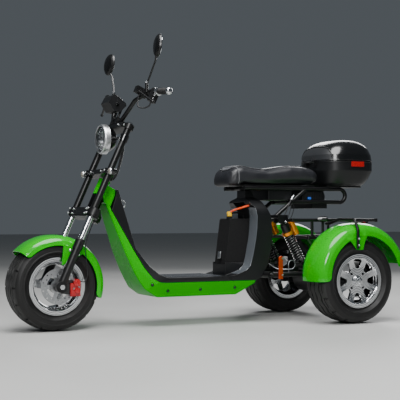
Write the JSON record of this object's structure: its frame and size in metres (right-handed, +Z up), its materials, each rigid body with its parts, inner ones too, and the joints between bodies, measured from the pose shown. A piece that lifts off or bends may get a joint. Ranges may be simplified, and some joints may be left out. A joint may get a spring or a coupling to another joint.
{
  "type": "three-wheeled electric scooter",
  "caption": "Step-through electric trike with a raked front fork, fat tyres, bench seat, rear fenders, luggage rack and a hinged top case.",
  "frame": {"origin": "on the ground below the middle of the vehicle's length and width", "axes": "+X forward, +Y to the rider's left, +Z up"},
  "size_m": [2.058, 0.95, 1.4364],
  "materials": {
    "green_paint": "gloss",
    "black_paint": "satin",
    "black_plastic": "satin",
    "gloss_black": "gloss",
    "rubber": "matte",
    "tyre": "matte",
    "alloy": "machined",
    "chrome": "polished",
    "steel": "ground",
    "orange_anodised": "anodised",
    "red_paint": "gloss",
    "red_lens": "gloss",
    "orange_cable": "satin",
    "seat_vinyl": "satin",
    "clear_lens": "clear",
    "display_glass": "gloss",
    "mirror": "polished"
  },
  "bodies": {
    "chassis": {"frame": "green_paint", "head_tube": "green_paint", "inner_panel": "black_plastic", "floor_mat": "rubber", "seat_box": "black_plastic", "battery": "black_plastic", "battery_lead": "orange_cable", "seat_pan": "black_plastic", "seat": "seat_vinyl", "rear_subframe": "black_paint", "electrics_boxes": "black_plastic", "swing_arm": "black_paint", "drive_unit": "black_paint", "shock_dampers": "black_paint", "shock_springs": "black_paint", "shock_reservoirs": "orange_anodised", "suspension_links": "orange_anodised", "rear_fenders": "green_paint", "fender_stays": "black_paint", "luggage_rack": "black_paint", "rear_indicators": "gloss_black", "tail_lamp": "red_lens", "rear_cable": "rubber", "case_plate": "black_plastic", "case_base": "gloss_black", "case_hinge": "black_plastic", "case_reflectors": "red_lens"},
    "fork": {"fork_crowns": "black_paint", "fork_upper_tubes": "black_paint", "fork_inner_tubes": "chrome", "fork_sliders": "black_paint", "front_axle": "steel", "handlebar": "black_paint", "grips": "rubber", "brake_levers": "black_paint", "switch_pods": "black_plastic", "mirrors": "gloss_black", "mirror_glass": "mirror", "headlamp_shell": "gloss_black", "headlamp_bezel": "chrome", "headlamp_lens": "clear_lens", "instrument": "black_plastic", "instrument_glass": "display_glass", "front_indicators": "gloss_black", "front_fender": "green_paint", "front_caliper": "red_paint", "brake_hose": "rubber", "control_loom": "rubber"},
    "front_wheel": {"front_tyre": "tyre", "front_rim": "alloy", "front_disc": "steel"},
    "rear_wheel_left": {"rear_tyre_left": "tyre", "rear_rim_left": "alloy"},
    "rear_wheel_right": {"rear_tyre_right": "tyre", "rear_rim_right": "alloy"},
    "lid": {"case_lid": "gloss_black"}
  },
  "joints": [
    {"name": "steering", "type": "hinge", "parent": "chassis", "child": "fork", "pos_m": [0.77349, 0, 0.20267], "axis": [-0.4083, 0, 0.9128], "range_deg": [-40, 40]},
    {"name": "front_wheel_spin", "type": "hinge", "parent": "fork", "child": "front_wheel", "pos_m": [0.81, 0, 0.219], "axis": [0, 1, 0], "continuous": true},
    {"name": "rear_wheel_left_spin", "type": "hinge", "parent": "chassis", "child": "rear_wheel_left", "pos_m": [-0.705, 0.35, 0.222], "axis": [0, 1, 0], "continuous": true},
    {"name": "rear_wheel_right_spin", "type": "hinge", "parent": "chassis", "child": "rear_wheel_right", "pos_m": [-0.705, -0.35, 0.222], "axis": [0, 1, 0], "continuous": true},
    {"name": "lid_hinge", "type": "hinge", "parent": "chassis", "child": "lid", "pos_m": [-0.684, 0, 0.864], "axis": [0, 1, 0], "range_deg": [0, 75]}
  ]
}
